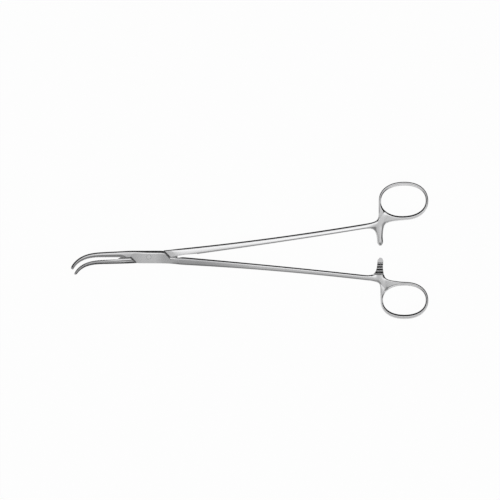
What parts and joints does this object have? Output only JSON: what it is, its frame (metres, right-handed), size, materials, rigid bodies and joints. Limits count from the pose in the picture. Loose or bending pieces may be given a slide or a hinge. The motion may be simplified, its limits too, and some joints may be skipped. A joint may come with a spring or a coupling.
{
  "type": "ligature forceps",
  "caption": "Ring-handled forceps with a box lock, in-plane curved serrated jaws and a ratchet; the tongue half turns on a flush pin.",
  "frame": {"origin": "lower flush end of the lock pin, on the plane of the lower ground cheek on which the instrument rests", "axes": "+Z along the pin, up from the lower cheek; the jaws point to -X, the finger rings lie at +X, the half with the tongue is at +Y behind the lock"},
  "size_m": [0.2394, 0.0919, 0.0052],
  "materials": {
    "satin_steel": "satin",
    "bright_steel": "bright satin",
    "pin_steel": "ground flush"
  },
  "bodies": {
    "fixed_half": {"box_half": "satin_steel", "lock_pin": "pin_steel"},
    "moving_half": {"tongue_half": "bright_steel"}
  },
  "joints": [
    {"name": "lock_hinge", "type": "hinge", "parent": "fixed_half", "child": "moving_half", "pos_m": [0, 0, 0.0026], "axis": [0, 0, 1], "range_deg": [-3.3, 38]}
  ]
}
